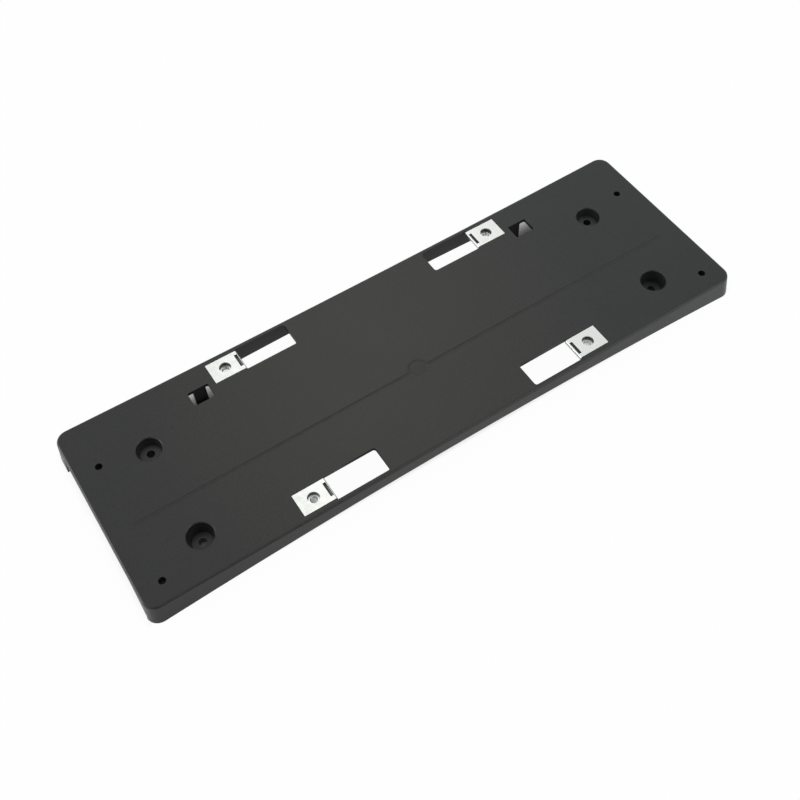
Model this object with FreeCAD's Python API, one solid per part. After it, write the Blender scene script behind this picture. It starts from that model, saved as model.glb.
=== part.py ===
"""Front number plate holder: a moulded panel with a skirt, and four sheet metal nut clips.

Millimetres. The plate lies on the front face, which is the plane z = 0, with +Z out of it.
+X runs along the holder. +Y points to the edge with the hooks. The bumper is on the -Z side.
The origin is the middle of the four plate screws, on the front face.
"""
import FreeCAD, Part
import math
import os

V = FreeCAD.Vector
X_AXIS = V(1, 0, 0)
Z_AXIS = V(0, 0, 1)

# Moulded panel: the far edge is a shallow hollow arc between its corners
face_length = 442.5
near_edge_y = 70.1
far_edge_y = 71.8
far_edge_hollow = 1.9
corner_radius = 8.5
edge_round = 1.8
panel_thickness = 2.7
skirt_wall = 2.4
skirt_draft = 6.5
smallest_round = 0.5

# Bumper that the skirt is trimmed to
bumper_radius = 3100.0
bumper_lean = 1.4
bumper_depth = 10.3

# Cut-outs in the short sides of the skirt, square at the far end and sloping at the near end
end_rim_depth = 5.0
end_gap_far = 55.4
end_slope_start = 44.0
end_gap_near = 64.5
end_slope_depth = 13.0

# Plate screw clips, on the hole spacing of a 440 by 140 mm plate
clip_spacing_x = 210.0
clip_spacing_y = 116.0
clip_width = 16.4
clip_reach_out = 10.7
clip_reach_in = 12.3
sheet = 0.8
bend_radius = 1.3
clip_hole_radius = 4.05
clip_window_length = 10.5
clip_window_width = 2.1
clip_window_inset = 1.0
collar_radius = 2.55
collar_wall = 0.8
collar_length = 3.4
lower_leaf_short = 2.6
lead_in_length = 2.4
lead_in_angle = 28.0

# Slots that the clips are pushed in from
slot_inner_x = 55.5
slot_width = 18.6
slot_corner_radius = 1.8
seat_clearance = 0.25
tongue_gap = 0.9
slot_wall_overlap = 5.0

# Windows over the hooks
window_x = 127.9
window_y = 47.3
window_length = 14.7
window_width = 11.4
window_corner_radius = 0.8
hook_x = 126.9
hook_width = 8.8
hook_thickness = 2.4
hook_depth = 19.0
hook_barb = 2.4
hook_barb_height = 3.2
hook_barb_face = 0.8
hook_tip_step = 0.6
hook_gusset = 1.8
hook_gusset_reach = 9.0
hook_gusset_depth = 14.0

# Bumper screw recesses
screw_x = 174.0
screw_far_y = 28.9
screw_near_y = -42.6
recess_far_radius = 8.5
recess_near_radius = 8.9
recess_floor_radius = 6.7
recess_far_depth = 6.0
recess_near_depth = 9.0
recess_lip = 0.4
cup_wall = 1.9
boss_radius = 5.2
screw_hole_radius = 2.7

# Blind corner holes for plate tapping screws
tap_x = 205.5
tap_far_y = 34.9
tap_near_y = -56.2
tap_hole_radius = 2.4
tap_hole_depth = 5.0
tap_boss_wall = 2.0
tap_boss_floor = 1.5

# Line and gate ring on the face
line_y = -13.7
line_half_length = 203.0
line_width = 1.6
line_depth = 0.2
gate_radius = 6.2
gate_ring_depth = 0.15
gate_gap = 1.4

# Ribs inside the panel: two along it, four across it, and short ones at the screw cups
rib_thickness = 1.6
rib_height = 5.0
rib_clearance = 1.5
cross_rib_x = (40.0, 152.0)
long_rib_y = (-13.7, 20.0)
cup_rib_reach = 9.0

# How far a shape that only cuts or is cut runs past what it meets
past = 1.0
far_past = 20.0
tiny = 1e-6

SIDES = (("left", -1), ("right", 1))
ROWS = (("far", 1), ("near", -1))


def line(start, end):
    return Part.LineSegment(start, end).toShape()


def flat_face(points):
    return Part.Face(Part.makePolygon(points + [points[0]]))


def polygon_prism(points, direction):
    """Flat polygon swept along a vector."""
    return flat_face(points).extrude(direction)


def block(x0, x1, y0, y1, z0, z1):
    low = V(min(x0, x1), min(y0, y1), min(z0, z1))
    return Part.makeBox(abs(x1 - x0), abs(y1 - y0), abs(z1 - z0), low)


def round_uprights(shape, radius):
    """Round every edge that runs from a shape's top to its bottom."""
    upright = [e for e in shape.Edges if abs(e.Vertexes[0].Z - e.Vertexes[1].Z) > tiny]
    return shape.makeFillet(radius, upright)


def rod(x, y, z_top, z_bottom, radius):
    return Part.makeCylinder(radius, z_top - z_bottom, V(x, y, z_bottom))


def bumper_drop(x):
    """How far the bumper falls away from its crown at a distance x along the holder."""
    return bumper_radius - math.sqrt(bumper_radius ** 2 - x ** 2)


def bumper(raised=0.0):
    """The bumper as a solid, raised towards the panel by a distance."""
    half = face_length / 2 + far_past
    y0 = -near_edge_y - far_past
    y1 = far_edge_y + far_past
    crown = -bumper_depth + raised
    edge = crown - bumper_drop(half)
    floor = edge - far_past
    a, b = V(-half, y0, edge), V(half, y0, edge)
    c, d = V(half, y0, floor), V(-half, y0, floor)
    top = Part.Arc(a, V(0, y0, crown), b).toShape()
    shape = Part.Face(Part.Wire([top, line(b, c), line(c, d), line(d, a)])).extrude(V(0, y1 - y0, 0))
    shape.rotate(V(0, 0, -bumper_depth), X_AXIS, -bumper_lean)
    return shape


def deepest():
    """A depth that every part of the skirt stays above, for shapes that pass right through."""
    lean = math.tan(math.radians(bumper_lean)) * far_edge_y
    return bumper_depth + bumper_drop(face_length / 2) + lean + 4 * past


def hollow_edge(inset, top, bottom):
    """Steep cone whose side is the far edge's shallow arc, widening as the skirt does."""
    slope = math.tan(math.radians(skirt_draft))
    half = face_length / 2
    radius = (half ** 2 + far_edge_hollow ** 2) / (2 * far_edge_hollow)
    centre = far_edge_y - far_edge_hollow + radius
    upper = radius + inset + slope * top
    lower = radius + inset + slope * bottom
    return Part.makeCone(lower, upper, top - bottom, V(0, centre, bottom))


def drafted_block(inset, top, bottom):
    """The panel's outline as a solid, set in by a distance, that widens to the back by the draft."""
    slope = math.tan(math.radians(skirt_draft))
    rings = []
    for z in (top, bottom):
        grow = slope * -z - inset
        hx = face_length / 2 + grow
        near = -near_edge_y - grow
        far = far_edge_y + grow + past
        rings.append([V(-hx, near, z), V(hx, near, z), V(hx, far, z), V(-hx, far, z)])
    high, low = rings
    faces = [flat_face(high), flat_face(low)]
    for i in range(4):
        j = (i + 1) % 4
        faces.append(flat_face([low[i], low[j], high[j], high[i]]))
    shape = Part.makeSolid(Part.makeShell(faces))
    shape = shape.cut(hollow_edge(inset, top + past, bottom - past))
    return round_uprights(shape, max(corner_radius - inset, smallest_round))


def moulded_shell():
    """Panel with its skirt, before the trim to the bumper."""
    outer = drafted_block(0.0, 0.0, -deepest())
    rim = [e for e in outer.Edges if all(abs(v.Z) < tiny for v in e.Vertexes)]
    outer = outer.makeFillet(edge_round, rim)
    return outer.cut(drafted_block(skirt_wall, -panel_thickness, -deepest() - past))


def inside():
    """The space between the skirt's walls, grown into them by half their thickness."""
    return drafted_block(skirt_wall / 2, -panel_thickness / 2, -deepest())


def ribs():
    top = -panel_thickness / 2
    bottom = -panel_thickness - rib_height
    half = rib_thickness / 2
    hx = face_length / 2 + far_past
    hy = far_edge_y + far_past
    shapes = [block(-hx, hx, y - half, y + half, top, bottom) for y in long_rib_y]
    for _, sx in SIDES:
        for x in cross_rib_x:
            shapes.append(block(sx * x - half, sx * x + half, -hy, hy, top, bottom))
        for y, _, radius in screw_places():
            reach = radius + cup_rib_reach
            x = sx * screw_x
            shapes.append(block(x - reach, x + reach, y - half, y + half, top, bottom))
    grid = shapes[0].multiFuse(shapes[1:])
    return grid.common(inside()).cut(bumper(rib_clearance))


def screw_places():
    """Place along Y, depth and rim radius of the far and the near recess."""
    return ((screw_far_y, recess_far_depth, recess_far_radius),
            (screw_near_y, recess_near_depth, recess_near_radius))


def screw_cup(x, y, depth, radius):
    """Tapered cup behind a bumper screw recess, with a boss that stands on the bumper."""
    top = -panel_thickness / 2
    floor = -depth - panel_thickness
    slope = (radius - recess_floor_radius) / depth
    upper = radius + cup_wall - slope * -top
    lower = recess_floor_radius + cup_wall - slope * panel_thickness
    cup = Part.makeCone(lower, upper, top - floor, V(x, y, floor))
    return cup.fuse(rod(x, y, top, -deepest(), boss_radius))


def screw_recess(x, y, depth, radius):
    """What a bumper screw recess takes away: lip, taper and through hole."""
    taper = Part.makeCone(recess_floor_radius, radius, depth, V(x, y, -depth))
    lip = Part.makeCone(radius, radius + recess_lip, recess_lip, V(x, y, -recess_lip))
    return taper.multiFuse([lip, rod(x, y, 0, -deepest() - past, screw_hole_radius)])


def tap_places():
    return [(sx * tap_x, y) for _, sx in SIDES for y in (tap_far_y, tap_near_y)]


def slot_wall(sx, sy):
    """Wall that closes the gap between a slot and the long side of the skirt."""
    inner = sy * (clip_spacing_y / 2 + slot_width / 2)
    outer = sy * (far_edge_y + far_past)
    ends = (sx * (slot_inner_x - slot_wall_overlap),
            sx * (clip_spacing_x / 2 + clip_reach_out + slot_wall_overlap))
    return block(ends[0], ends[1], inner, outer, -panel_thickness / 2, -deepest())


def slot(sx, sy):
    """Open part of a slot, up to the end of the tongue that the clip sits on."""
    x0 = sx * slot_inner_x
    x1 = sx * (clip_spacing_x / 2 - clip_reach_in + sheet + tongue_gap)
    y = sy * clip_spacing_y / 2
    shape = block(x0, x1, y - slot_width / 2, y + slot_width / 2, past, -panel_thickness - past)
    return round_uprights(shape, slot_corner_radius)


def clip_seat(sx, sy):
    """Recess in the face that leaves the clip's upper leaf flush, and the tongue's screw hole."""
    x = sx * clip_spacing_x / 2
    y = sy * clip_spacing_y / 2
    half = clip_width / 2 + seat_clearance
    inner = x - sx * clip_reach_in
    outer = x + sx * (clip_reach_out + seat_clearance)
    pocket = block(inner, outer, y - half, y + half, past, -sheet)
    return pocket.fuse(rod(x, y, 0, -panel_thickness - past, clip_hole_radius))


def window(sx):
    x = sx * window_x
    hx = window_length / 2
    hy = window_width / 2
    shape = block(x - hx, x + hx, window_y - hy, window_y + hy, past, -panel_thickness - past)
    return round_uprights(shape, window_corner_radius)


def hook(sx):
    """Snap hook behind a window: stem, barb under the window and a gusset on the far side."""
    x = sx * hook_x
    near = window_y + window_width / 2
    far = near + hook_thickness
    top = -panel_thickness / 2
    catch = -hook_depth + hook_barb_height
    tip = -hook_depth
    side = [V(0, far, top), V(0, near, top), V(0, near, catch), V(0, near - hook_barb, catch),
            V(0, near - hook_barb, catch - hook_barb_face), V(0, near + hook_tip_step, tip),
            V(0, far, tip)]
    stem = polygon_prism(side, V(hook_width, 0, 0))
    stem.translate(V(x - hook_width / 2, 0, 0))
    middle = far - hook_thickness / 2
    slant = [V(0, middle, top), V(0, far + hook_gusset_reach, top), V(0, middle, -hook_gusset_depth)]
    gusset = polygon_prism(slant, V(hook_gusset, 0, 0))
    gusset.translate(V(x - hook_gusset / 2, 0, 0))
    return stem.fuse(gusset)


def end_gap(sx):
    """Opening in the skirt of a short side, between its deep corners."""
    inner = sx * (face_length / 2 - skirt_wall - past)
    run = sx * far_past
    floor = -deepest() - past
    side = [V(inner, end_gap_far, -end_rim_depth), V(inner, -end_slope_start, -end_rim_depth),
            V(inner, -end_gap_near, -end_slope_depth), V(inner, -end_gap_near, floor),
            V(inner, end_gap_far, floor)]
    return polygon_prism(side, V(run, 0, 0))


def face_line(sx):
    """Half of the fine V line on the face, from the gate ring outwards."""
    start = sx * (gate_radius + gate_gap)
    run = sx * line_half_length - start
    side = [V(start, line_y - line_width / 2, 0.0), V(start, line_y + line_width / 2, 0.0),
            V(start, line_y, -line_depth)]
    return polygon_prism(side, V(run, 0, 0))


def gate_ring():
    """Fine V ring on the face, round the place where the mould is filled."""
    side = [V(gate_radius - line_width / 2, 0, 0), V(gate_radius + line_width / 2, 0, 0),
            V(gate_radius, 0, -gate_ring_depth)]
    ring = flat_face(side).revolve(V(0, 0, 0), Z_AXIS, 360)
    ring.translate(V(0, line_y, 0))
    return ring


def panel():
    added = [slot_wall(sx, sy) for _, sx in SIDES for _, sy in ROWS]
    added += [screw_cup(sx * screw_x, *place) for _, sx in SIDES for place in screw_places()]
    tap_boss_end = -tap_hole_depth - tap_boss_floor
    added += [rod(x, y, -panel_thickness / 2, tap_boss_end, tap_hole_radius + tap_boss_wall)
              for x, y in tap_places()]
    added = [shape.common(inside()) for shape in added]
    body = moulded_shell().multiFuse(added + [ribs()])
    body = body.cut(bumper())
    body = body.multiFuse([hook(sx) for _, sx in SIDES])

    taken = [slot(sx, sy) for _, sx in SIDES for _, sy in ROWS]
    taken += [clip_seat(sx, sy) for _, sx in SIDES for _, sy in ROWS]
    taken += [window(sx) for _, sx in SIDES]
    taken += [end_gap(sx) for _, sx in SIDES]
    taken += [screw_recess(sx * screw_x, *place) for _, sx in SIDES for place in screw_places()]
    taken += [rod(x, y, 0, -tap_hole_depth, tap_hole_radius) for x, y in tap_places()]
    taken += [face_line(sx) for _, sx in SIDES]
    taken += [gate_ring()]
    for tool in taken:
        body = body.cut(tool)
    return body.removeSplitter()


def leaf_profile():
    """Side view of a clip with its fold towards -X: upper leaf, fold, lower leaf and lead-in."""
    grip = panel_thickness - sheet
    fold = -clip_reach_in
    outer_low = -sheet - grip - sheet
    lower_end = clip_reach_out - lower_leaf_short - lead_in_length
    run = lead_in_length * math.cos(math.radians(lead_in_angle))
    fall = lead_in_length * math.sin(math.radians(lead_in_angle))
    points = [V(clip_reach_out, 0, 0), V(fold, 0, 0), V(fold, 0, outer_low),
              V(lower_end, 0, outer_low), V(lower_end + run, 0, outer_low - fall),
              V(lower_end + run, 0, outer_low - fall + sheet), V(lower_end, 0, outer_low + sheet),
              V(fold + sheet, 0, outer_low + sheet), V(fold + sheet, 0, -sheet),
              V(clip_reach_out, 0, -sheet)]
    return points


def bend_edges(shape, x, radius):
    """Round the fold's edges that run across the clip at a distance x."""
    across = [e for e in shape.Edges
              if all(abs(v.X - x) < tiny for v in e.Vertexes)
              and abs(e.Vertexes[0].Y - e.Vertexes[1].Y) > clip_width / 2]
    return shape.makeFillet(radius, across)


def nut_clip():
    """Sheet metal clip on the Z axis, with its fold towards -X and its upper leaf at z = 0."""
    strip = polygon_prism(leaf_profile(), V(0, clip_width, 0))
    strip.translate(V(0, -clip_width / 2, 0))
    strip = bend_edges(strip, -clip_reach_in, bend_radius)
    strip = bend_edges(strip, -clip_reach_in + sheet, bend_radius - sheet)
    under = -panel_thickness
    outer = collar_radius + collar_wall
    collar = rod(0, 0, under - sheet / 2, under - collar_length, outer)
    clip = strip.fuse(collar)
    between = (-sheet - panel_thickness) / 2
    clip = clip.cut(rod(0, 0, past, between, clip_hole_radius))
    clip = clip.cut(rod(0, 0, between, under - collar_length - past, collar_radius))
    start = -clip_reach_in + clip_window_inset
    clip = clip.cut(block(start, start + clip_window_width, -clip_window_length / 2,
                          clip_window_length / 2, past, between))
    return clip.removeSplitter()


def write(name, shape):
    shape.exportStep(os.path.join("parts", name + ".step"))
    box = shape.BoundBox
    print(name, "solids", len(shape.Solids), "valid", shape.isValid(), "volume", round(shape.Volume, 1),
          "box", [round(v, 2) for v in (box.XMin, box.XMax, box.YMin, box.YMax, box.ZMin, box.ZMax)])


os.makedirs("parts", exist_ok=True)
write("panel", panel())
for row, sy in ROWS:
    for side, sx in SIDES:
        clip = nut_clip()
        if sx < 0:
            clip.rotate(V(0, 0, 0), Z_AXIS, 180)
        clip.translate(V(sx * clip_spacing_x / 2, sy * clip_spacing_y / 2, 0))
        write("nut_clip_" + row + "_" + side, clip)
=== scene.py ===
# %% [markdown]
# # Front number plate holder
# The model comes in as a fixed frame: a moulded black panel and four sheet metal nut clips, each
# with its place in its mesh. The scene gives them their finishes, adds the detail that is too fine
# for the solids, and photographs the result.

# %% Load the frame
import math
import bpy
import numpy as np
from mathutils import Euler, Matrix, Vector


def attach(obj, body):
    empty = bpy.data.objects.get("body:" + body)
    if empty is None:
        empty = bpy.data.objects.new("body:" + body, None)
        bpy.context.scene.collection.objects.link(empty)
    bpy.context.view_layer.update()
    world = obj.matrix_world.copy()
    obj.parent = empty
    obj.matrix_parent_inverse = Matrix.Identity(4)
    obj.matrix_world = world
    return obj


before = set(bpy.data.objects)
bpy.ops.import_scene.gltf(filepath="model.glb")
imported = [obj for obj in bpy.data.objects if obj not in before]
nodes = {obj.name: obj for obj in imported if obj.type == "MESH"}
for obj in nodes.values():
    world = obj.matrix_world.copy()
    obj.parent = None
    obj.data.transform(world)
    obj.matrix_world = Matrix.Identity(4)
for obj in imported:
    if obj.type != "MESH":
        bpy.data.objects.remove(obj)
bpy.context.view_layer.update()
mm = 0.001

# %% [markdown]
# ## Camera
# The place and the lens were worked out from the corners of the holder in the photograph, with the
# plate's screw spacing of 210 mm as the scale. A look-at constraint would also aim the camera, but
# the measured turn is written out, because it holds the small roll too.

# %% Make the camera
lens_mm = 46.768
sensor_mm = 36.0
nearest_seen = 10.0 * mm
camera_place = (-0.206696, -0.343820, 0.556430)
camera_turn = (33.2385, 1.7404, -32.7903)


def make_camera():
    data = bpy.data.cameras.new("camera")
    data.sensor_width = sensor_mm
    data.lens = lens_mm
    data.clip_start = nearest_seen
    made = bpy.data.objects.new("camera", data)
    made.location = camera_place
    made.rotation_euler = Euler([math.radians(angle) for angle in camera_turn], "XYZ")
    bpy.context.scene.collection.objects.link(made)
    return made


camera = make_camera()
bpy.context.scene.camera = camera
print("camera at", [round(v, 3) for v in camera.location])

# %% [markdown]
# ## Writing materials as sums
# A finish is arithmetic on signals: a noise times a depth, one minus a mask. Wiring each Math node
# by hand hides that, so a small class wraps an output socket and turns Python's operators into
# nodes. Each operator has its reflected form, so that a plain number may stand on either side.

# %% Make signals
class Signal:
    """One number that varies over a surface. The operators add Math nodes."""

    def __init__(self, finish, socket):
        self.finish = finish
        self.socket = socket

    def maths(self, operation, *values, clamp=False):
        """Adds a Math node on these values, which are signals or plain numbers."""
        settings = {"operation": operation, "use_clamp": clamp}
        node = self.finish.node("ShaderNodeMath", settings, dict(enumerate(values)))
        return Signal(self.finish, node.outputs[0])

    def __add__(self, other):
        return self.maths("ADD", self, other)

    def __radd__(self, other):
        return self.maths("ADD", other, self)

    def __sub__(self, other):
        return self.maths("SUBTRACT", self, other)

    def __rsub__(self, other):
        return self.maths("SUBTRACT", other, self)

    def __mul__(self, other):
        return self.maths("MULTIPLY", self, other)

    def __rmul__(self, other):
        return self.maths("MULTIPLY", other, self)

    def clamped(self):
        """The number held between 0 and 1."""
        return self.maths("ADD", self, 0.0, clamp=True)

    def size(self):
        """The number without its sign."""
        return self.maths("ABSOLUTE", self)

    def cubed(self):
        return self * self * self

    def greatest(self, *others):
        """The greatest of this number and the others, at each point."""
        found = self
        for other in others:
            found = found.maths("MAXIMUM", found, other)
        return found


# %% [markdown]
# ## Adding every other node
# A second class holds the material, or the world, that is being written. All other nodes come from
# its one method `node`, and the rest are short names for the few kinds that the finishes share.
# Most masks are a rise or a fall: a Map Range node that goes evenly between 0 and a top value while
# its signal crosses a span. A Color Ramp could do that too, but its stops lie between 0 and 1, and
# most spans here are metres on either side of 0.

# %% Make finishes
noise_span = (0.3, 0.7)


class Finish:
    """A material, or the world, that is being written. It adds nodes and links them."""

    def __init__(self, owner):
        owner.use_nodes = True
        self.owner = owner
        self.tree = owner.node_tree
        self.tree.nodes.clear()

    def node(self, kind, settings=None, sockets=None):
        """Adds a node: first its settings, then the value or the link of each socket."""
        made = self.tree.nodes.new(kind)
        for name, value in (settings or {}).items():
            setattr(made, name, value)
        for name, value in (sockets or {}).items():
            source = value.socket if isinstance(value, Signal) else value
            if isinstance(source, bpy.types.NodeSocket):
                self.tree.links.new(source, made.inputs[name])
            else:
                made.inputs[name].default_value = source
        return made

    def signal(self, kind, settings=None, sockets=None, output=0):
        """Adds a node whose output is wanted as a signal."""
        return Signal(self, self.node(kind, settings, sockets).outputs[output])

    def place(self):
        """Where a point lies in the object, in metres."""
        return self.node("ShaderNodeTexCoord").outputs["Object"]

    def facing(self):
        """Which way the surface faces, in the object's own axes."""
        return self.node("ShaderNodeTexCoord").outputs["Normal"]

    def axes(self, vector):
        """The three numbers of a vector, as signals."""
        parts = self.node("ShaderNodeSeparateXYZ", None, {0: vector})
        return [Signal(self, output) for output in parts.outputs]

    def rays(self, *kinds):
        """1 where the light path is of one of the named kinds, and 0 elsewhere."""
        paths = self.node("ShaderNodeLightPath").outputs
        first, *others = [Signal(self, paths["Is " + kind + " Ray"]) for kind in kinds]
        return first.greatest(*others)

    def noise(self, size, detail, stretch=None):
        """Noise between about 0 and 1 whose lumps are size metres across."""
        vector = self.place()
        if stretch:
            mapping = self.node("ShaderNodeMapping", None, {"Vector": vector, "Scale": stretch})
            vector = mapping.outputs[0]
        return self.signal("ShaderNodeTexNoise", None,
                           {"Vector": vector, "Scale": 1.0 / size, "Detail": detail})

    def ramp(self, signal, span, first, last):
        """first where the signal is at the span's start or less, last at its end or more."""
        low, high = span
        sockets = {"Value": signal, "From Min": low, "From Max": high, "To Min": first, "To Max": last}
        return self.signal("ShaderNodeMapRange", {"clamp": True}, sockets)

    def rise(self, signal, span, top=1.0):
        """0 before the span, top after it, even between."""
        return self.ramp(signal, span, 0.0, top)

    def fall(self, signal, span, top=1.0):
        """top before the span, 0 after it, even between."""
        return self.ramp(signal, span, top, 0.0)

    def swing(self, noise, first, last):
        """From first to last over the span that a noise mostly keeps to."""
        return self.ramp(noise, noise_span, first, last)

    def between(self, factor, first, second):
        """Colour that goes from first to second with the factor."""
        sockets = {0: factor, 6: first, 7: second}
        return self.node("ShaderNodeMix", {"data_type": "RGBA"}, sockets).outputs[2]

    def bump(self, height, depth, strength):
        """The normal as a relief tilts it, whose height in metres is the signal times depth."""
        sockets = {"Height": height, "Distance": depth, "Strength": strength}
        return self.node("ShaderNodeBump", None, sockets).outputs[0]

    def output(self, shader):
        """Wires the shader to the output and gives the material, or the world, back."""
        sky = isinstance(self.owner, bpy.types.World)
        kind = "ShaderNodeOutputWorld" if sky else "ShaderNodeOutputMaterial"
        self.node(kind, None, {"Surface": shader.outputs[0]})
        return self.owner


# %% [markdown]
# ## Black moulded plastic
# The panel is one injection moulding in black polypropylene. Specks, a mottle and faint broad
# clouds, which stand for the flow of the melt, mix a dark black with a lighter one. That lighter
# one carries painted light and shade across the face: it is lighter and a touch warmer in the
# middle, cooler towards the right end and darker at the left one. A picture of such plastic could
# be laid on instead, but noise in three dimensions needs no unwrapping and runs on over every edge.

# %% Mix the black
# The lighter tones are painted light and shade across the face: lightest and warmest in the middle,
# darkest at the left end.
plastic_dark = (0.0070, 0.0080, 0.0078, 1.0)
plastic_painted_lit_middle = (0.0200, 0.0175, 0.0164, 1.0)
plastic_painted_lit_right = (0.0140, 0.0153, 0.0160, 1.0)
plastic_painted_shaded_left = (0.0145, 0.0132, 0.0130, 1.0)
# Where along X the middle's tone turns into that of either end
right_x = (0.050, 0.160)
left_x = (-0.175, -0.142)
cloud_weight, mottle_weight, speck_weight = 0.25, 0.25, 0.5
tone_span = (0.38, 0.62)


def black_tone_and_painted_light(finish, x, clouds, mottle, specks):
    """From dark to light with the weighted sum of the three noises, with painted light and shade along X.
    """
    light = finish.between(finish.rise(x, right_x), plastic_painted_lit_middle, plastic_painted_lit_right)
    light = finish.between(finish.fall(x, left_x), light, plastic_painted_shaded_left)
    mixed = clouds * cloud_weight + mottle * mottle_weight + specks * speck_weight
    return finish.between(finish.rise(mixed, tone_span), plastic_dark, light)


# %% [markdown]
# ## Painted shade and light at the gate ring and the fine line
# The gate left a ring in the face. A dull blush lies round it, and its near half is painted paler:
# painted light over the shade in the ring's groove. Beside the fine line down the face the plastic
# is painted a shade darker, in patches: painted shade of the line's sloping sides. That band wanders
# a little, and it goes round the far side of the ring. Each mark is a mask: the distance from a line
# or a ring, turned into a share. Marks could be painted on a picture, but masks stay sharp at any size.

# %% Mark the blush, and paint shade along the line and light on the gate ring
# Painted shade: a darker band beside the fine line and round the far side of the gate ring. The same black
# darkens the blush.
painted_groove_shade_and_blush_black = (0.0020, 0.0022, 0.0022, 1.0)
painted_groove_shade_y = -14.3 * mm
# Full up to the first distance from its middle, gone at the second
painted_groove_shade_half = (0.4 * mm, 1.9 * mm)
painted_groove_shade_end = (0.200, 0.206)
painted_groove_shade_wander = 1.6 * mm
# Of a noise: the size of its lumps, and how many finer layers it has
wander_noise = (11.0 * mm, 2.0)
patch_noise = (6.0 * mm, 1.0)
patch_span = (0.35, 0.65)
patch_strength = (0.45, 0.95)
gate_place = (0.0, -13.7 * mm, 0.0)
gate_radius = 6.2 * mm
gate_clear = 1.5 * mm
gate_arc_rise = 3.0 * mm
gate_blush = 0.35
gate_blush_reach = (gate_radius * 0.7, gate_radius * 1.6)
# Painted light on the near half of the gate ring, over the shade in its groove
gate_light_half = (0.3 * mm, 0.9 * mm)
gate_light_turn = 1.5 * mm
gate_light_strength = 0.9


def from_gate(finish, place):
    """Distance of a point from the middle of the gate ring, in metres."""
    return finish.signal("ShaderNodeVectorMath", {"operation": "DISTANCE"},
                         {0: place, 1: gate_place}, "Value")


def gate_ring_painted_light(finish, place, y):
    """How much painted light lies on the near half of the gate ring at a point."""
    ring = finish.fall((from_gate(finish, place) - gate_radius).size(), gate_light_half)
    turn = (gate_place[1] - gate_light_turn, gate_place[1] + gate_light_turn)
    return ring * finish.fall(y, turn, gate_light_strength)


def painted_groove_shade_and_blush(finish, place, x, y):
    """How much darker a point is: the painted shade beside the line, its arc round the gate ring, and the
    blush.
    """
    wander = (finish.noise(*wander_noise) - 0.5) * painted_groove_shade_wander
    band = finish.fall((y + wander - painted_groove_shade_y).size(), painted_groove_shade_half)
    band = band * finish.fall(x.size(), painted_groove_shade_end)
    band = band * finish.rise(x.size(), (gate_radius, gate_radius + gate_clear))
    away = from_gate(finish, place)
    arc = finish.fall((away - gate_radius).size(), painted_groove_shade_half)
    arc = arc * finish.rise(y, (gate_place[1], gate_place[1] + gate_arc_rise))
    patches = finish.ramp(finish.noise(*patch_noise), patch_span, *patch_strength)
    dark = band.greatest(arc) * patches
    return dark.greatest(finish.fall(away, gate_blush_reach, gate_blush))


# %% [markdown]
# ## Painted highlight on edges, painted light on walls
# The rounded edges are painted paler and made a little smoother: a painted highlight along them.
# They are found by how upright their normal is: neither as level as the face nor as steep as a
# wall. Pointiness would find edges too, but it follows the mesh's corners and not the real radius.
# The walls of recesses and windows below the face are painted a little pale: painted light in their
# shade.

# %% Find the painted highlight and light
# Painted light: a paler black for the highlight on edges, the light on walls and the gate ring's near half
plastic_painted_light = (0.0240, 0.0240, 0.0232, 1.0)
# How upright the normal is where a rounded edge begins, and where it runs into the face
edge_begins = (0.35, 0.80)
edge_ends = (0.90, 0.985)
edge_highlight_span = (0.35, 0.60)
edge_highlight_strength = (0.55, 1.0)
# Inside these the walls below the face get painted light
wall_light_x = (0.212, 0.214)
wall_light_y = (0.0600, 0.0620)
wall_light_z = (-3.0 * mm, -1.0 * mm)
wall_upright = (0.3, 0.7)
# The share of painted light on those walls
wall_light_share = 0.4


def painted_edge_highlight(finish, upright, mottle):
    """How much painted highlight a rounded edge has at a point, unevenly with the mottle."""
    edge = finish.rise(upright, edge_begins) * finish.fall(upright, edge_ends)
    return (edge * finish.ramp(mottle, edge_highlight_span, *edge_highlight_strength)).clamped()


def painted_wall_light(finish, axes, upright):
    """How much painted light a point gets on a wall below the face and inside the skirt."""
    x, y, z = axes
    inside = finish.fall(x.size(), wall_light_x) * finish.fall(y.size(), wall_light_y)
    return inside * finish.fall(z, wall_light_z) * finish.fall(upright, wall_upright, wall_light_share)


# %% [markdown]
# ## Satin grain
# The mould is spark eroded to a fine satin, so the face scatters light softly and shows no mirror
# image. The grain is a relief of a few hundredths of a millimetre. Real geometry for it would need
# millions of faces, so it is a bump, and the roughness carries what is finer still. Rub marks
# along X and the edges with the painted highlight are a little smoother.

# %% Make the plastic
cloud_noise = (60.0 * mm, 3.0)
mottle_noise = (4.0 * mm, 4.0)
speck_noise = (1.3 * mm, 1.0)
grain_noise = (0.42 * mm, 3.0)
pit_noise = (1.1 * mm, 2.0)
rub_noise = (9.0 * mm, 5.0)
rub_stretch = (1.0, 4.0, 1.0)
rub_span = (0.62, 0.80)
satin_roughness = (0.37, 0.43)
uneven_roughness = (-0.03, 0.03)
rub_polish = 0.06
edge_polish = 0.05
grain_share = 0.7
grain_depth = 0.06 * mm
grain_strength = 0.6
plastic_ior = 1.46


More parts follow.
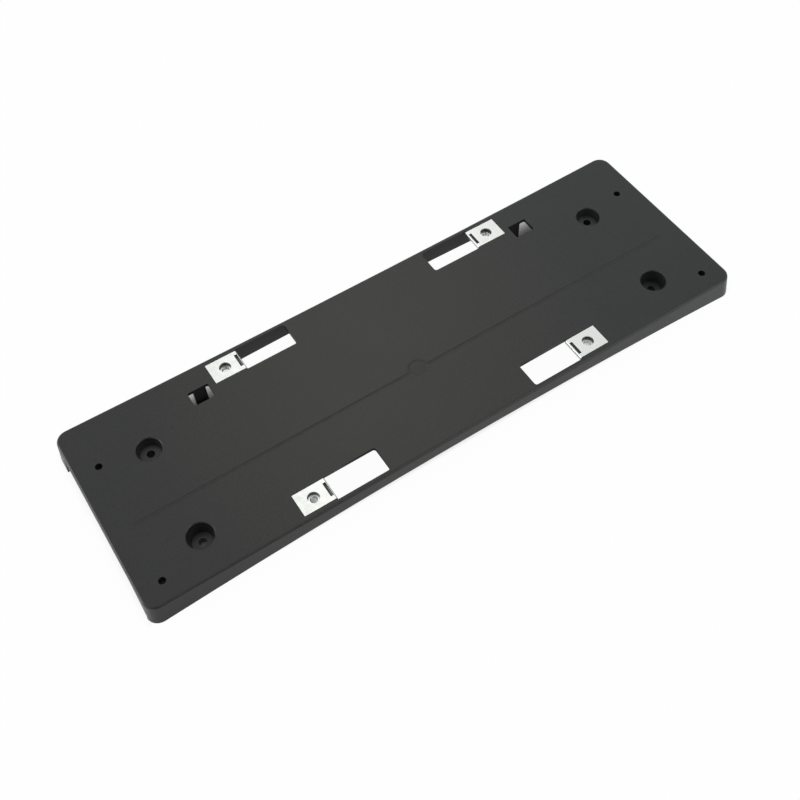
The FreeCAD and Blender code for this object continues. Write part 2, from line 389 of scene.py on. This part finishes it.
def black_plastic():
    finish = Finish(bpy.data.materials.new("satin_black_plastic"))
    clouds, mottle, specks, grain, pits = [
        finish.noise(*noise) for noise in (cloud_noise, mottle_noise, speck_noise, grain_noise, pit_noise)]
    rubs = finish.noise(*rub_noise, rub_stretch)
    place = finish.place()
    axes = finish.axes(place)
    x, y = axes[:2]
    upright = finish.axes(finish.facing())[2]
    # Painted highlight along the rounded edges
    edge_highlight = painted_edge_highlight(finish, upright, mottle)
    # Painted highlight on edges and painted light on walls
    pale = edge_highlight.greatest(painted_wall_light(finish, axes, upright))
    # The black tone carries painted light and shade along X.
    colour = black_tone_and_painted_light(finish, x, clouds, mottle, specks)
    # Painted shade beside the fine line and round the gate ring, and the blush
    colour = finish.between(painted_groove_shade_and_blush(finish, place, x, y), colour, painted_groove_shade_and_blush_black)
    # Painted light on the near half of the gate ring
    colour = finish.between(gate_ring_painted_light(finish, place, y), colour, plastic_painted_light)
    # A paler black for the painted highlight on edges and the painted light on walls
    colour = finish.between(pale, colour, plastic_painted_light)
    roughness = (finish.swing(clouds, *satin_roughness) + finish.swing(mottle, *uneven_roughness)
                 + finish.swing(specks, *uneven_roughness)
                 - finish.rise(rubs, rub_span, rub_polish) - edge_highlight * edge_polish)
    relief = grain * grain_share + pits * (1.0 - grain_share)
    normal = finish.bump(relief, grain_depth, grain_strength)
    return finish.output(finish.node("ShaderNodeBsdfPrincipled", None, {
        "Base Color": colour, "Roughness": roughness, "Normal": normal, "IOR": plastic_ior}))


plastic = black_plastic()
nodes["panel"].data.materials[0] = plastic
print("panel", len(nodes["panel"].data.polygons), "triangles,", plastic.name)

# %% [markdown]
# ## Zinc plated steel
# Each nut clip is punched and folded from steel strip, then plated bright. Rolled strip has fine
# lines along its length, and plating gives it soft clouds and small dull specks. The lines run
# along X, the way the strip ran through the tool. An anisotropic shader would stretch the gloss
# too, but it shows no single lines, so the noise is stretched along that axis instead.

# %% Make the zinc
zinc_light = (0.752, 0.757, 0.748, 1.0)
zinc_dull = (0.712, 0.718, 0.712, 1.0)
zinc_speck = (0.520, 0.525, 0.520, 1.0)
film_noise = (5.0 * mm, 4.0)
film_span = (0.35, 0.70)
rolled_noise = (0.25 * mm, 2.0)
rolled_stretch = (0.04, 1.0, 1.0)
crystal_noise = (0.5 * mm, 3.0)
dull_speck_noise = (0.9 * mm, 2.0)
dull_speck_span = (0.66, 0.74)
dull_speck_share = 0.35
dull_speck_roughness = 0.1
zinc_roughness = (0.28, 0.38)
rolled_roughness = (-0.03, 0.03)
rolled_share = 0.6
rolled_depth = 0.01 * mm
rolled_strength = 0.5


def zinc_steel():
    finish = Finish(bpy.data.materials.new("bright_zinc_plating"))
    film = finish.noise(*film_noise)
    lines = finish.noise(*rolled_noise, rolled_stretch)
    crystals = finish.noise(*crystal_noise)
    specks = finish.rise(finish.noise(*dull_speck_noise), dull_speck_span, dull_speck_share)
    colour = finish.between(finish.rise(film, film_span), zinc_light, zinc_dull)
    colour = finish.between(specks, colour, zinc_speck)
    roughness = (finish.swing(film, *zinc_roughness) + finish.swing(lines, *rolled_roughness)
                 + specks * dull_speck_roughness)
    relief = lines * rolled_share + crystals * (1.0 - rolled_share)
    normal = finish.bump(relief, rolled_depth, rolled_strength)
    return finish.output(finish.node("ShaderNodeBsdfPrincipled", None, {
        "Base Color": colour, "Metallic": 1.0, "Roughness": roughness, "Normal": normal}))


zinc = zinc_steel()
clip_names = sorted(name for name in nodes if name.startswith("nut_clip"))
for name in clip_names:
    nodes[name].data.materials[0] = zinc
print("clips", clip_names, zinc.name)

# %% [markdown]
# ## Closed skins over rings of points
# The small pieces that follow are closed surfaces over rows of rings: one parameter goes along the
# row and the other round each ring. Blender's Screw and Array modifiers make such shapes as well,
# but whole arrays of points allow ends that run out to nothing, and need no clean-up afterwards.

# %% Make closed skins
def ring_quads(index):
    """Quads between each ring and the next one, where index gives the number of each point.

    A quad joins a point, its follower on the next ring, and the neighbours of both."""
    first, following = index[:-1], index[1:]
    quads = np.stack([first, following, np.roll(following, -1, 1), np.roll(first, -1, 1)], -1)
    return quads.reshape(-1, 4)


def enclosed(points, faces):
    """Volume inside closed quads: the sum of the wedges from the origin, negative if inside out."""
    a, b, c, d = (points[faces[:, k]] for k in range(4))
    wedges = np.cross(a, b) * c + np.cross(a, c) * d
    return wedges.sum() / 6


def tube_mesh(name, rings):
    """Skin over rings of four points, first axis along the row, with a quad over either end."""
    count, around = rings.shape[:2]
    index = np.arange(count * around).reshape(count, around)
    ends = np.array([index[0], index[-1][::-1]])
    faces = np.concatenate([ring_quads(index), ends])
    points = rings.reshape(-1, 3)
    if enclosed(points - points.mean(0), faces) < 0:
        faces = faces[:, ::-1]
    mesh = bpy.data.meshes.new(name)
    mesh.from_pydata(points, [], faces)
    return mesh


def add_piece(name, mesh, material):
    """Puts a finished mesh in the scene, on the frame's one body."""
    mesh.materials.append(material)
    mesh.update()
    piece = bpy.data.objects.new(name, mesh)
    bpy.context.scene.collection.objects.link(piece)
    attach(piece, "root")
    return piece


# %% [markdown]
# ## Threads in the clips
# Each clip has a drawn collar below its lower leaf, tapped for an M6 plate screw. The solid has a
# plain bore there. The thread is a ridge carried along a helix: one parameter runs round the
# turns and the other round the ridge's small profile. At both ends the ridge runs out to nothing.

# %% Make the threads
bore_radius = 2.55 * mm
pitch = 1.0 * mm
ridge_height = 0.32 * mm
thread_top = -2.75 * mm
thread_bottom = -6.0 * mm
clip_hole_x, clip_hole_y = 105.0 * mm, 58.0 * mm
# Along the bore's axis in pitches, and into the bore in ridge heights
ridge_profile = np.array([(-0.46, -0.15), (-0.12, 1.0), (0.12, 1.0), (0.46, -0.15)])
ridge_half = ridge_profile[-1, 0]
# The part of a turn that the ridge's own width takes up, and over which it runs out
ridge_turns = 0.9
run_out_turns = 1 / 3
thinnest_share = 0.02
thread_rings = 140


def thread_points(x, y):
    """The ridge's profile carried down a helix about the bore's axis.

    The radius is the bore's less the profile's height, which fades almost to nothing over the
    first and last third of a turn. The level is the top of the thread less half the ridge's
    width, plus the profile's own place, less one pitch for each whole turn of the angle."""
    turns = (thread_top - thread_bottom) / pitch - ridge_turns
    angle = np.linspace(0.0, 2 * math.pi * turns, thread_rings)[:, None]
    from_end = np.minimum(angle, angle[-1] - angle)
    fade = np.clip(from_end / (2 * math.pi * run_out_turns), thinnest_share, 1.0)
    along, inward = ridge_profile.T
    radius = bore_radius - ridge_height * inward * fade
    level = thread_top - pitch * ridge_half + pitch * along * fade - pitch * angle / (2 * math.pi)
    return np.stack([x + radius * np.cos(angle), y - radius * np.sin(angle), level], -1)


for row, sy in (("far", 1), ("near", -1)):
    for side, sx in (("left", -1), ("right", 1)):
        name = "thread_" + row + "_" + side
        grid = thread_points(sx * clip_hole_x, sy * clip_hole_y)
        thread = add_piece(name, tube_mesh(name, grid), zinc)
print("thread faces", len(thread.data.polygons))

# %% [markdown]
# ## Ejector marks behind the panel
# Pins push the moulding off the core, and each leaves a low round witness on the hidden side. They
# stand where the panel needs a push, near the ribs and cups. Each mark is a disc with a sloping
# rim: rings of points at a few radii and levels, closed by a point in the middle of either end. A
# cylinder with a bevel would be close, but its rim would be even. The hidden end lies a little
# inside the plastic, so no gap shows.

# %% Make the ejector marks
panel_back = -2.7 * mm
pin_x = (16.0, 62.0, 98.0, 133.0, 162.0, 206.0)
pin_y = (-28.0, 8.0)
pin_radius = 3.5 * mm
pin_mark_height = 0.30 * mm
points_round_pin = 32
# Radius as a share of the pin's, and height above the panel's back as a share of the mark's
mark_profile = np.array([(1.0, -0.4), (0.97, 0.7), (0.90, 1.0), (0.60, 0.85), (0.25, 0.8)])


def mark_mesh(centres):
    """Closed low discs behind the panel. With a the angle round a pin and r, h the profile's
    radius and height, a point is the pin's centre plus pin_radius * r * (cos a, sin a), at the
    level of the panel's back less pin_mark_height * h. A middle point closes either end."""
    around = points_round_pin
    angle = np.linspace(0.0, 2 * math.pi, around, endpoint=False)
    circle = np.stack([np.cos(angle), np.sin(angle)], -1) * pin_radius
    share, height = mark_profile.T
    flat = (share[:, None, None] * circle).reshape(-1, 2)
    level = panel_back - pin_mark_height * height
    rings = np.column_stack([flat, np.repeat(level, around)])
    disc = np.vstack([rings, (0.0, 0.0, level[0]), (0.0, 0.0, level[-1])])
    index = np.arange(len(rings)).reshape(-1, around)
    hidden = np.column_stack([index[0], np.roll(index[0], -1), np.full(around, len(rings))])
    shown = np.column_stack([np.roll(index[-1], -1), index[-1], np.full(around, len(rings) + 1)])
    steps = np.arange(len(centres))[:, None, None] * len(disc)
    shifts = np.column_stack([centres, np.zeros(len(centres))])[:, None]
    four_sided = (ring_quads(index) + steps).reshape(-1, 4).tolist()
    three_sided = (np.vstack([hidden, shown]) + steps).reshape(-1, 3).tolist()
    mesh = bpy.data.meshes.new("ejector_marks")
    mesh.from_pydata((disc + shifts).reshape(-1, 3), [], four_sided + three_sided)
    return mesh


pins = np.array([(side * x, y) for side in (-1, 1) for x in pin_x for y in pin_y]) * mm
marks = add_piece("ejector_marks", mark_mesh(pins), plastic)
print("ejector marks", len(pins), "share of faces that look down",
      round(float(np.mean([face.normal.z < 0 for face in marks.data.polygons])), 2))

# %% [markdown]
# ## Floor
# The holder is trimmed to a curved bumper, so it stands on the four corners of its skirt, and the
# far pair is deeper. Lifting the model on to a level floor would be simpler, but the frame stays
# where it is. The floor is laid through those corners instead, a little out of level.

# %% Make the floor
floor_half = 2.5
foot_past_y = 60.0 * mm


def foot_level(side):
    """How far along Y, and how low, the panel's lowest point is on its near (-1) or far (1) edge."""
    points = np.array([v.co for v in nodes["panel"].data.vertices])
    edge = points[side * points[:, 1] > foot_past_y]
    return edge[np.argmin(edge[:, 2])][1:]


def make_floor():
    """A square whose level at y is the near foot's plus the slope times the way from that foot."""
    (y0, z0), (y1, z1) = foot_level(-1), foot_level(1)
    slope = (z1 - z0) / (y1 - y0)
    corners = [(x * floor_half, y * floor_half, z0 + slope * (y * floor_half - y0))
               for x, y in ((-1, -1), (1, -1), (1, 1), (-1, 1))]
    mesh = bpy.data.meshes.new("floor")
    mesh.from_pydata(corners, [], [(0, 1, 2, 3)])
    made = bpy.data.objects.new("floor", mesh)
    bpy.context.scene.collection.objects.link(made)
    print("floor leans", round(math.degrees(math.atan(slope)), 2), "degrees")
    return made


floor = make_floor()

# %% [markdown]
# ## What the floor shows
# The picture's background is plain white, so the camera and the reflections see the floor as
# white. Under the holder it stays a floor in shade, with its colour painted darker as painted
# shade, or the screw holes and the hooks would look lit from below. A glow of painted light stands
# for the light that creeps in there past the skirt, so the shade fades towards the edges, and a
# trace of it is left in the middle. The arches of the long sides are highest in the middle, and the
# white floor reaches further in there, as far as the slots show it.
#
# Reflections see these places a little darker. The clips' folds and bores mirror the painted lit
# strips, while the thin walls of the near slots mirror the painted shade between them. The near
# skirt mirrors the floor just in front of it, which is painted in the holder's own shade at the left
# and in full light at the right. More lamps could light all this, but they would also bleach the
# plastic.

# %% Map the painted light on the floor
# In metres: where the shade is full, and where it has faded to nothing
fade_x = (0.190, 0.226)
fade_far = (0.0450, 0.0725)
fade_near = (0.0350, 0.0700)
# Painted lit strips under the near and the far arch: middle and half size, and the width of soft edges
arch_strips = (((0.0070, -0.0492), (0.0985, 0.0110)), ((0.0070, 0.0680), (0.1040, 0.0150)))
strip_soft = (0.016, 0.010)
shade_shown = 0.016
shade_mirrored = 0.06
near_mirrored = 0.6
# Reflections see the near strip from this X outwards and from this Y inwards
near_mirrored_x = (0.066, 0.078)
near_mirrored_y = (-0.0630, -0.0595)
# They see the near creep from this X outwards, and the open floor this side of this Y
creep_mirrored_x = (0.092, 0.100)
skirt_mirrored_y = (-0.0700, -0.0640)
# The far strip's share in reflections, rising along Y
far_mirrored = (0.5, 0.7)
far_mirrored_y = (0.0600, 0.0680)
# In front of the skirt: how much of the light the holder's painted shade leaves, rising along X
front_x = (-0.22, -0.08)
front_share = (0.38, 0.88)
front_y = (-0.072, -0.064)


def strip(finish, place, middle, half):
    """1 inside an upright oblong on the floor, fading to 0 over its soft edges."""
    inside_x, inside_y = [finish.fall((along - centre).size(), (reach, reach + soft))
                          for along, centre, reach, soft in zip(place, middle, half, strip_soft)]
    return inside_x * inside_y


def painted_floor_light(finish, x, y):
    """How much painted light a point of the floor has, for the camera and for reflections."""
    past_end = finish.rise(x.size(), fade_x)
    far_creep = finish.rise(y, fade_far).cubed()
    near_creep = finish.rise(-1.0 * y, fade_near).cubed()
    near_arch, far_arch = [strip(finish, (x, y), middle, half) for middle, half in arch_strips]
    lit = past_end.greatest(far_creep, near_creep)
    shown = lit.greatest(near_arch, far_arch, shade_shown)
    near_share = finish.rise(x.size(), near_mirrored_x, near_mirrored) * finish.rise(y, near_mirrored_y)
    far_share = finish.ramp(y, far_mirrored_y, *far_mirrored)
    mirrored = (near_creep * finish.rise(x.size(), creep_mirrored_x)).greatest(
        finish.fall(y, skirt_mirrored_y), past_end, far_creep, shade_mirrored,
        near_arch * near_share, far_arch * far_share)
    in_front = finish.fall(y, front_y) * (1.0 - finish.ramp(x, front_x, *front_share))
    return lit, shown, mirrored * (1.0 - in_front)


# %% [markdown]
# ## Floor material
# The floor is a matt surface that catches the holder's shadow, its colour darker under the holder
# as painted shade, mixed with a white glow of painted light by that map. A brighter lamp on the
# floor would whiten it too, but it would light the holder from below. Only the camera and
# reflections see the glow, so beyond what the holder mirrors it adds no light.

# %% Finish the floor
floor_pale = (0.80, 0.80, 0.80, 1.0)
# Painted shade: the floor's darker colour under the holder
floor_painted_shade = (0.30, 0.30, 0.30, 1.0)
seen_white = 0.97


def floor_material():
    finish = Finish(bpy.data.materials.new("pale_floor"))
    x, y = finish.axes(finish.place())[:2]
    lit, shown, mirrored = painted_floor_light(finish, x, y)
    # The colour goes from painted shade to pale with the painted light map
    tone = finish.between(lit, floor_painted_shade, floor_pale)
    matt = finish.node("ShaderNodeBsdfDiffuse", None, {"Color": tone})
    glow = finish.node("ShaderNodeEmission", None, {"Strength": 1.0})
    # The glow is painted light, spread by the map
    glowing = (finish.rays("Camera") * shown * seen_white
               + finish.rays("Glossy", "Transmission") * mirrored).clamped()
    return finish.output(finish.node("ShaderNodeMixShader", None, {
        0: glowing, 1: matt.outputs[0], 2: glow.outputs[0]}))


floor.data.materials.append(floor_material())
print("floor finish", floor.data.materials[0].name)

# %% [markdown]
# ## Studio walls
# The photograph is a studio picture with white all round: no hard highlight, no cast shadow. An
# even world, a touch cool, does most of it. The side that the picture is taken from is darker, and
# the rounded near edge mirrors that side as a soft dark line at the left. A picture of a studio
# could be the world, but one direction and one span say the same.

# %% Make the world
world_strength = 0.90
white = (1.0, 1.0, 1.0, 1.0)
cool_white = (0.955, 1.0, 0.985, 1.0)
dark_side = (-0.36, -0.83, 0.42)
# The cosine of the angle from the dark side where it begins, and where it is darkest
dark_side_span = (0.70, 0.92)
dark_side_depth = 0.80


def make_world():
    finish = Finish(bpy.data.worlds.new("white_studio"))
    direction = finish.node("ShaderNodeTexCoord").outputs["Generated"]
    turned = finish.signal("ShaderNodeVectorMath", {"operation": "DOT_PRODUCT"},
                           {0: direction, 1: dark_side}, "Value")
    plain, bright, dim = [
        finish.node("ShaderNodeBackground", None, {"Color": colour, "Strength": strength}).outputs[0]
        for colour, strength in ((white, 1.0), (cool_white, world_strength),
                                 (cool_white, world_strength * (1.0 - dark_side_depth)))]
    lighting = finish.node("ShaderNodeMixShader", None, {
        0: finish.rise(turned, dark_side_span), 1: bright, 2: dim})
    bpy.context.scene.world = finish.output(finish.node("ShaderNodeMixShader", None, {
        0: finish.rays("Camera", "Transmission"), 1: lighting.outputs[0], 2: plain}))


make_world()
print("world", bpy.context.scene.world.name)

# %% [markdown]
# ## Lamps
# A soft warm lamp behind gives the face part of its slow change from left to right, and painted
# light and shade in the black give the rest. One at the front right lifts the near edge there, and
# one at the left picks out the short end. All are large squares, as softboxes are: a small lamp
# would make a hard spot on the satin.

# %% Make the lamps
# Name, place, aim, side in metres, brightness of its face where 1 is white, colour
lamps = (
    ("back_softbox", (0.375, 0.78, 1.30), (0.0, 0.0, 0.0), 0.50, 1.63, (1.0, 0.93, 0.84)),
    ("left_softbox", (-1.12, 0.60, 0.26), (-0.2, 0.0, 0.0), 0.60, 3.3, (1.0, 1.0, 1.0)),
    ("front_right_softbox", (0.62, -0.95, 0.52), (0.1, -0.07, 0.0), 0.70, 1.1, (1.0, 1.0, 1.0)))


def make_lamp(name, place, aim, size, brightness, colour):
    """A square soft lamp at place, turned to face aim.

    Its power is the brightness of its face times its area and pi."""
    data = bpy.data.lights.new(name, "AREA")
    data.shape = "SQUARE"
    data.size = size
    data.energy = brightness * math.pi * size ** 2
    data.color = colour
    lamp = bpy.data.objects.new(name, data)
    lamp.location = place
    towards = Vector(aim) - Vector(place)
    lamp.rotation_euler = towards.to_track_quat("-Z", "Y").to_euler()
    bpy.context.scene.collection.objects.link(lamp)
    print(name, round(data.energy, 2), "W")


for row in lamps:
    make_lamp(*row)
bpy.context.scene.view_settings.view_transform = "Standard"
